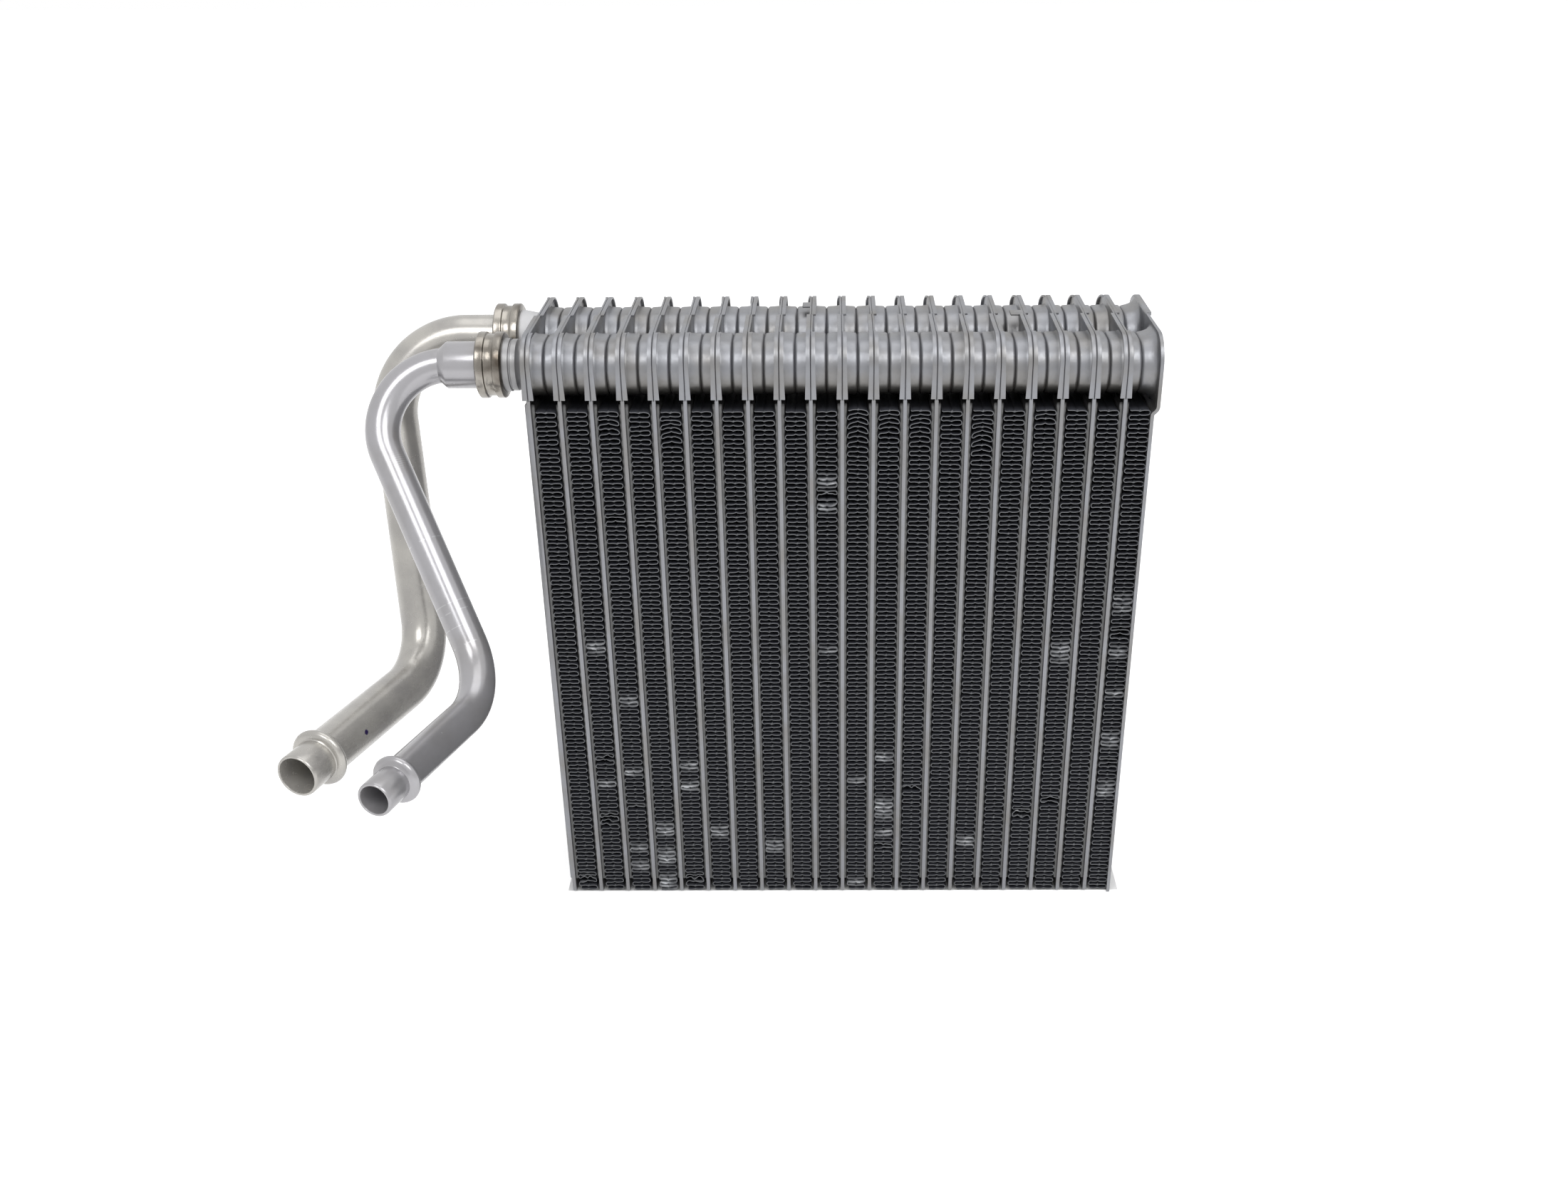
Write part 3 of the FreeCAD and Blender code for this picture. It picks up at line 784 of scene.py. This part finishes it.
def settle_fin(strip, number, sizes, width):
    """The sway, tilt, arches and knocks of one strip, the same on every run, and its painted highlight."""
    chance = random.Random(sizes.seed * 100 + number)
    shift = Vector((chance.uniform(-50, 50), chance.uniform(-50, 50), 0))

    def rough(x, y, z):
        return noise.noise(Vector((x, y, z)) + shift)

    knocks = on_strip(KNOCKS, number)
    arches = on_strip(ARCHES, number)
    bare = strip.data.attributes.new("bare", "FLOAT", "POINT")
    front = -sizes.depth / 2
    leg = (sizes.head - sizes.foot) / sizes.waves / 2
    for index, vertex in enumerate(strip.data.vertices):
        x, y, z = vertex.co
        share = x / width
        across = 4 * share * (1 - share)
        sway = rough(number * 7.3, z * 55, 0.5)
        tilt = rough(number * 3.1, z * 240, 9.5)
        rise = SWAY * sway + TILT * tilt * (share - 0.5) * 2
        for level, reach, amount in arches:
            rise += amount * bump(z - level, reach) * across
        highlight = 0.0
        if y < front + sizes.soft_depth / 2:
            # Painted highlight on the crease at the middle of every other leg, near the front
            if abs(share - 0.5) < 0.02 and math.floor((z - sizes.foot) / leg + 0.5) % 2:
                highlight = 0.45 + 0.45 * noise.noise(Vector((z * 300, number, 1.0)))
            rise += FLUTTER * rough(x * 500, z * 900, 3.0)
            for level, reach, amount in knocks:
                strength = bump(z - level, reach)
                if not strength:
                    continue
                crumple = rough(x * 420, z * 700, number)
                mangled = 1.6 if amount > DEEP_KNOCK else 0.4
                rise += amount * strength * (0.9 + mangled * crumple) * (0.15 + 0.85 * across)
                vertex.co.y += 0.0004 * strength * crumple
                # Painted highlight in patches where a knock bends the sheet
                patch = rough(x * 250, z * 400, number + 5.0)
                highlight_patch = 0.8 + patch if amount < 0 else 0.3 + 0.8 * patch
                highlight = max(highlight, min(1.0, 1.6 * strength) * highlight_patch)
        vertex.co.z += rise
        bare.data[index].value = highlight


class EVAP_OT_fins(Operator):
    """Build the corrugated fin strips between the pairs"""
    bl_idname = "evaporator.fins"
    bl_label = "Fin strips"

    def execute(self, context):
        plates, sizes, _, finishes = chosen(context)
        width = plates.pitch - 2 * plates.channel_rise
        material = fin_metal(finishes, sizes.depth / 2)
        strip = fin_strip(sizes, width)
        for number in range(1, PAIR_COUNT + 1):
            piece = repeat(strip)
            settle_fin(piece, number, sizes, width)
            start = (number - 1) * plates.pitch + plates.channel_rise
            piece.data.transform(Matrix.Translation((start, 0, 0)))
            apply_modifier(piece, "SOLIDIFY", thickness=sizes.sheet, offset=0.0)
            settle(piece, f"fin_strip_{number:02d}", math.radians(35))
            dress(piece, material, "fin", f"fin_{number:02d}")
        bpy.data.objects.remove(strip)
        return {"FINISHED"}


# End plate

# A dish from its rim on the end plate to its seam with the last cup: distance, and what to add to its radius
DISH_PROFILE = (
    (0.01066, 0.0027), (0.01060, 0.0022), (0.01035, 0.0017), (0.0099, 0.0012), (0.0090, 0.0006),
    (0.0076, 0.0001), (0.0066, -0.0001), (0.0060, -0.0003), (0.0056, -0.0006), (0.00535, SEAM_DRAW),
)
DISH_SHEET = 0.0008
HOLE_MARGIN = 0.0014

# The lip stands on the edges whose middles lie above this height and behind this place
END_LIP_FOOT = 0.21
END_LIP_START = 0.0004


def joggled_sheet(sizes, face):
    """The end plate's sheet, stepped in under the tanks, with a lip along the rear half of its top edge."""
    sheet = upright_sheet(sizes, face)
    cut("z", sizes.joggle_top)
    cut("z", sizes.joggle_foot)
    cut("y", END_LIP_START)
    choose(sheet, "verts", lambda vertex: vertex.co.z < sizes.joggle_foot + 0.0001)
    bpy.ops.transform.translate(value=(-sizes.channel_rise, 0, 0))
    corner = Vector((face, END_LIP_START, END_LIP_FOOT))
    choose(sheet, "edges", lambda edge: edge.is_boundary and min((middle(edge) - corner).yz) > 0)
    grow((sizes.end_sheet + sizes.end_lip, 0, 0))
    clear_selection()
    outward(sheet)
    edit(sheet)
    choose(sheet, "edges", lambda edge: folded(edge, 0.3))
    bpy.ops.mesh.bevel(offset=0.0008, segments=3, affect="EDGES")
    clear_selection()
    inner = any(polygon.normal.x < -0.9 for polygon in sheet.data.polygons)
    apply_modifier(sheet, "SOLIDIFY", thickness=sizes.end_sheet, offset=-1.0 if inner else 1.0)
    outward(sheet)
    return sheet


def punch(sheet, sizes, place):
    """Cut the hole that a dish fills."""
    radius = sizes.cup_radius + HOLE_MARGIN
    plug = rings(place, ALONG_STACK, [(0.009, radius), (0.0135, radius)], CUP_SIDES, sizes.cup_straight)
    apply_modifier(sheet, "BOOLEAN", object=closed(plug), operation="DIFFERENCE", solver="MANIFOLD")
    bpy.data.objects.remove(plug)


def dish_shell(sizes, place):
    """A flared dish, closed at its seam with the last pair's cup."""
    profile = [(distance, sizes.cup_radius + draw) for distance, draw in DISH_PROFILE]
    dish = rings(place, ALONG_STACK, profile, CUP_SIDES, sizes.cup_straight)
    cap(dish, lambda centre: centre.x < place.x + 0.0054)
    outward(dish)
    inward = any(polygon.normal.x > 0.9 for polygon in dish.data.polygons)
    apply_modifier(dish, "SOLIDIFY", thickness=DISH_SHEET, offset=1.0 if inward else -1.0)
    return dish


class EVAP_OT_end_plate(Operator):
    """Build the end plate with its two dishes and its lip"""
    bl_idname = "evaporator.end_plate"
    bl_label = "End plate"

    def execute(self, context):
        sizes, _, _, finishes = chosen(context)
        last = (PAIR_COUNT - 1) * sizes.pitch
        sheet = joggled_sheet(sizes, last + sizes.pitch)
        pieces = [sheet]
        for tank in (-1, 1):
            place = tank_axis(sizes, tank, last)
            punch(sheet, sizes, place)
            pieces.append(dish_shell(sizes, place))
        for piece in pieces:
            outward(piece)
        plate = settle(join(pieces), "joggled_end_plate")
        material = metal("End plate aluminium", finishes.plate, finishes.plate_stain_and_shade, 0.7, 0.32, bump=0.18)
        dress(plate, material, "end_plate", "end_plate")
        return {"FINISHED"}


# Pipes and their joints

# Each pipe's reach from the stack to its upper bend, its way from there to the lower bend, the length, turn
# and rise in degrees of its open leg, and the radii of its two bends
ROUTES = {
    "liquid": (0.0642, (0.0522, -0.0633, -0.0949), (0.0719, 17.0, 2.4), (0.0224, 0.0270)),
    "suction": (0.0605, (0.0149, -0.0500, -0.1105), (0.0813, 17.8, 1.7), (0.0270, 0.0257)),
}
BORE_DEPTH = 0.0380

# Marks of the bending tool on the liquid pipe: rings, each a distance from the upper corner and half a width
TOOL_RINGS = ((0.0690, 0.00022), (0.0925, 0.00016), (0.0957, 0.0002), (0.1010, 0.00016), (0.1075, 0.00022))
CHATTER_PLACE = (-0.0444, -0.0400, 0.1880)
CHATTER_PITCH = 0.0008
INK_PLACE = (-0.0543, -0.0856, 0.1076)

# Necks from the first pair to the collar: distance and radius
LIQUID_NECK = (
    (0.0, 0.0084), (0.0004, 0.0078), (0.0010, 0.0076), (0.0028, 0.0077), (0.0038, 0.0082),
    (0.0043, 0.0088), (0.0047, 0.0089), (0.0060, 0.0089), (0.0063, 0.0085), (0.0066, 0.0085),
    (0.0068, 0.0091), (0.0087, 0.00925),
)
SUCTION_NECK = (
    (0.0, 0.0092), (0.0005, 0.0087), (0.0012, 0.0086), (0.0030, 0.0087), (0.0050, 0.0091),
    (0.0070, 0.0095), (0.0087, 0.0096),
)
COLLAR_GROOVE_WIDTH = 0.0028
COLLAR_GROOVE_DEPTH = 0.0008


def turned_piece(place, profile, material, slot, kind, close):
    piece = rings(place, PORT_SIDE, profile, sides=72)
    close(piece)
    outward(piece)
    settle(piece, f"{kind}_{slot}_turned", math.radians(32))
    dress(piece, material, slot, f"{kind}_{slot}")


def collar_profile(length, edge, bore):
    """A collar with soft edges and a groove round its middle, from one open bore to the other."""
    low = edge - COLLAR_GROOVE_DEPTH
    third = (length - COLLAR_GROOVE_WIDTH) / 2
    soft = 0.0003
    half = [
        (0.0, bore), (0.0, low), (soft, edge - 0.0002), (soft * 2, edge), (third - soft * 2, edge),
        (third - soft, edge - 0.0001), (third, low + 0.0001), (third + soft, low),
    ]
    return half + [(length - place, radius) for place, radius in reversed(half)]


class EVAP_OT_joints(Operator):
    """Build the necks on the first pair and the grooved collars"""
    bl_idname = "evaporator.joints"
    bl_label = "Necks and collars"

    def execute(self, context):
        plates, _, pipes, finishes = chosen(context)
        stain = finishes.collar_stain
        bright = metal("Turned ring", finishes.collar, stain, 0.9, 0.14, grain=1600, metallic=0.95)
        brazed = metal("Brazed neck", finishes.neck, finishes.plate_stain_and_shade, 0.5, 0.30, metallic=0.7)
        pale = metal("Pale neck", finishes.pale_neck, finishes.neck, 0.3, 0.5, metallic=0.2)
        for tank, kind, edge, bore, neck, finish in (
            (-1, "liquid", pipes.liquid_collar, pipes.liquid_flare, LIQUID_NECK, brazed),
            (1, "suction", pipes.suction_collar, pipes.suction_radius, SUCTION_NECK, pale),
        ):
            place = tank_axis(plates, tank, -plates.sheet)
            turned_piece(place, neck, finish, "neck", kind, close_ends)
            joint = place + PORT_SIDE * pipes.neck_length
            collar = collar_profile(pipes.collar_length, edge, bore - 0.0001)
            turned_piece(joint, collar, bright, "collar", kind, close_bore)
        return {"FINISHED"}


def bend_round(place, corner, arriving, leaving, radius, steps):
    """Extrude the open end of a tube from a place to a corner of its route, and spin it round."""
    angle = arriving.angle(leaving)
    axis = arriving.cross(leaving).normalized()
    reach = radius * math.tan(angle / 2)
    grow(corner - arriving * reach - place)
    centre = corner - arriving * reach + axis.cross(arriving) * radius
    bpy.ops.mesh.spin(steps=steps, angle=-angle, center=centre, axis=axis)
    return corner + leaving * reach


def end_form(radius, stub, bead, wall):
    """The bead and the narrower open end, as distances back from the rim and radii."""
    inner = stub - wall
    return [
        (0.0168, radius), (0.0160, radius + 0.0002), (0.0152, radius + 0.0003),
        (0.0147, radius + 0.0003), (0.0144, radius + 0.0006), (0.0142, bead - 0.0009),
        (0.0138, bead - 0.0004), (0.0132, bead - 0.0001), (0.0126, bead), (0.0120, bead - 0.0002),
        (0.0115, bead - 0.0006), (0.0112, bead - 0.0012), (0.0111, stub + 0.0002),
        (0.0108, stub - 0.0001), (0.0103, stub), (0.0008, stub), (0.0003, stub - 0.0001),
        (0.0, stub - 0.0004), (0.0001, inner + 0.0002), (0.0005, inner), (BORE_DEPTH, inner),
    ]


def pipe_tube(route, bends, radius, end):
    """A tube along straight runs and tangent bends, with a bead and a narrower open end."""
    start, upper, lower, rim = route
    first = (upper - start).normalized()
    second = (lower - upper).normalized()
    third = (rim - lower).normalized()
    tube = open_ring(start, first, radius, PIPE_SIDES)
    place = bend_round(start, upper, first, second, bends[0], 40)
    place = bend_round(place, lower, second, third, bends[1], 32)
    grow(rim - third * end[0][0] - place)
    follow(rim, -third, end)
    clear_selection()
    return tube


def flare_ring(start, pipes):
    """The wide end of the liquid pipe, from inside its collar to where it has narrowed to the pipe."""
    wide = pipes.liquid_flare
    narrow = pipes.liquid_radius
    profile = [
        (0.0, wide), (0.0201, wide), (0.0207, wide - 0.0002), (0.0222, narrow + 0.0006),
        (0.0231, narrow - 0.0001),
    ]
    return rings(start, PORT_SIDE, profile, PIPE_SIDES)


def heading(turn, rise):
    """Direction of a pipe's open end: turned towards the pipe side and lifted, in degrees."""
    turn = math.radians(turn)
    rise = math.radians(rise)
    return Vector((-math.sin(turn) * math.cos(rise), -math.cos(turn) * math.cos(rise), math.sin(rise)))


class EVAP_OT_pipes(Operator):
    """Build the liquid pipe and the suction pipe"""
    bl_idname = "evaporator.pipes"
    bl_label = "Pipes"

    def execute(self, context):
        plates, _, pipes, finishes = chosen(context)
        stain = finishes.tube_stain
        cool = metal("Liquid tube", finishes.liquid, stain, 0.6, 0.14, grain=450, bump=0.03, metallic=0.55)
        warm = metal("Suction tube", finishes.suction, stain, 0.6, 0.16, grain=450, bump=0.03, metallic=0.5)
        for tank, kind, finish in ((-1, "liquid", cool), (1, "suction", warm)):
            radius, stub, bead = (getattr(pipes, f"{kind}_{part}") for part in ("radius", "stub", "bead"))
            out, fall, (leg, turn, rise), bends = ROUTES[kind]
            start = tank_axis(plates, tank, -plates.sheet - pipes.neck_length)
            upper = Vector((-out, start.y, start.z))
            lower = upper + Vector(fall)
            rim = lower + heading(turn, rise) * leg
            end = end_form(radius, stub, bead, pipes.wall)
            pipe = closed(pipe_tube((start, upper, lower, rim), bends, radius, end))
            tree = finish.node_tree
            if kind == "liquid":
                pipe = join([pipe, closed(flare_ring(start, pipes))])
                paint(finish, tool_marks(tree, upper, (lower - upper).normalized()), finishes.pale_neck)
            else:
                paint(finish, near_mask(tree, INK_PLACE, reach=0.0008, soft=0.0002), finishes.ink)
            mark_bore(pipe, rim, (rim - lower).normalized(), stub - pipes.wall + 0.0001)
            # Painted shade on the wall of the open bore
            paint(finish, marked(tree, "bore"), finishes.bore)
            dress(settle(pipe, f"{kind}_tube"), finish, f"{kind}_pipe", f"{kind}_pipe")
        return {"FINISHED"}


# Stage

WHITE = (1, 1, 1, 1)
SKY_LIGHT = 0.55
FLOOR_LIFT = 0.5

# Area lamps: name, place, what they face, size and watts
LAMPS = (
    ("Key", (0.70, -0.95, 1.45), (0.05, 0, 0.1), 0.8, 9),
    ("Fill", (-0.40, -0.95, 1.40), (0.05, 0, 0.1), 0.6, 6),
    ("Top", (0.1, 0.3, 1.5), (0.1, 0, 0.2), 1.0, 4),
)

CAMERA_PLACE = (0.10395, -0.5304, 0.3790)
CAMERA_YAW = math.radians(-0.48)
CAMERA_PITCH = math.radians(26.47)
CAMERA_ROLL = math.radians(0.41)
CAMERA_LENS = 35.31
CAMERA_SHIFT = -0.0245


def background_rays(tree):
    """1 where a camera, glossy or transmission ray looks at the background, else 0."""
    path = add(tree, "LightPath").outputs
    either = calculate(tree, "MAXIMUM", path["Is Camera Ray"], path["Is Glossy Ray"])
    return calculate(tree, "MAXIMUM", either, path["Is Transmission Ray"])


def studio_world():
    """White to the camera and in reflections, and a softer light on the object."""
    world = bpy.data.worlds.new("Studio")
    world.use_nodes = True
    tree = world.node_tree
    light = tree.nodes["Background"]
    light.inputs["Color"].default_value = WHITE
    light.inputs["Strength"].default_value = SKY_LIGHT
    seen = add(tree, "Background", {"Color": WHITE, "Strength": 1.0})
    inputs = {"Fac": background_rays(tree), 1: light.outputs["Background"], 2: seen.outputs["Background"]}
    mix = add(tree, "MixShader", inputs)
    tree.links.new(mix.outputs["Shader"], tree.nodes["World Output"].inputs["Surface"])
    return world


def lift_floor(material, sizes):
    """Let the floor read as white, except straight under the core."""
    tree = material.node_tree
    shader = tree.nodes["Principled BSDF"].inputs
    shader["Emission Color"].default_value = WHITE
    half_stack = PAIR_COUNT * sizes.pitch / 2
    under = []
    for axis, centre, half in (("X", half_stack, half_stack + 0.003), ("Y", 0.0, sizes.depth / 2 - 0.0015)):
        distance = aside(tree, along_axis(tree, axis), centre)
        under.append(calculate(tree, "LESS_THAN", distance, half))
    open_floor = calculate(tree, "SUBTRACT", 1.0, calculate(tree, "MULTIPLY", *under))
    lift = calculate(tree, "MULTIPLY", background_rays(tree), FLOOR_LIFT)
    tree.links.new(calculate(tree, "MULTIPLY", lift, open_floor), shader["Emission Strength"])


def studio_floor(finishes, sizes):
    clear_selection()
    bpy.ops.mesh.primitive_plane_add(size=6, location=(0.1, 0.5, -0.0002))
    floor = bpy.context.object
    bpy.ops.object.transform_apply()
    floor.name = "studio_floor"
    material = bpy.data.materials.new("Studio floor")
    material.use_nodes = True
    shader = material.node_tree.nodes["Principled BSDF"].inputs
    shader["Base Color"].default_value = (*finishes.floor, 1)
    shader["Roughness"].default_value = 0.9
    floor.data.materials.append(material)
    lift_floor(material, sizes)


def add_object(name, data):
    item = bpy.data.objects.new(name, data)
    bpy.context.scene.collection.objects.link(item)
    return item


def studio_lamp(name, place, aim, size, power):
    light = bpy.data.lights.new(name, "AREA")
    light.size = size
    light.energy = power
    lamp = add_object(name, light)
    lamp.location = place
    lamp.rotation_euler = (Vector(aim) - Vector(place)).to_track_quat("-Z", "Y").to_euler()


def studio_camera():
    """The camera at the photograph's viewing angle."""
    camera = add_object("Camera", bpy.data.cameras.new("Camera"))
    camera.data.sensor_fit = "HORIZONTAL"
    camera.data.sensor_width = 36
    camera.data.lens = CAMERA_LENS
    camera.data.shift_x = CAMERA_SHIFT
    camera.data.clip_start = 0.01
    turn = Euler((math.radians(90) - CAMERA_PITCH, 0, -CAMERA_YAW)).to_matrix().to_4x4()
    camera.matrix_world = Matrix.Translation(CAMERA_PLACE) @ turn @ Matrix.Rotation(-CAMERA_ROLL, 4, "Z")
    return camera


class EVAP_OT_stage(Operator):
    """Set the floor, the lights and the camera"""
    bl_idname = "evaporator.stage"
    bl_label = "Stage"

    def execute(self, context):
        scene = context.scene
        studio_floor(scene.evaporator.finishes, scene.evaporator.plates)
        scene.world = studio_world()
        for lamp in LAMPS:
            studio_lamp(*lamp)
        scene.camera = studio_camera()
        scene.view_settings.view_transform = "Standard"
        return {"FINISHED"}


class EVAP_PT_panel(Panel):
    """Buttons and sizes in the 3D view's sidebar"""
    bl_label = "Evaporator core"
    bl_space_type = "VIEW_3D"
    bl_region_type = "UI"
    bl_category = "Evaporator"

    def draw(self, context):
        layout = self.layout
        for operator in OPERATORS:
            layout.operator(operator.bl_idname)
        for group in chosen(context):
            box = layout.box()
            for name in group.__annotations__:
                box.prop(group, name)


GROUPS = (PlateSizes, FinSizes, PipeSizes, Finishes, CoreSettings)
OPERATORS = (EVAP_OT_plates, EVAP_OT_fins, EVAP_OT_end_plate, EVAP_OT_joints, EVAP_OT_pipes, EVAP_OT_stage)


def register():
    for group in GROUPS + OPERATORS + (EVAP_PT_panel,):
        bpy.utils.register_class(group)
    bpy.types.Scene.evaporator = PointerProperty(type=CoreSettings)


def unregister():
    del bpy.types.Scene.evaporator
    for group in reversed(GROUPS + OPERATORS + (EVAP_PT_panel,)):
        bpy.utils.unregister_class(group)


def main():
    register()
    bpy.ops.evaporator.plates()
    bpy.ops.evaporator.fins()
    bpy.ops.evaporator.end_plate()
    bpy.ops.evaporator.joints()
    bpy.ops.evaporator.pipes()
    bpy.ops.evaporator.stage()


if __name__ == "__main__":
    main()
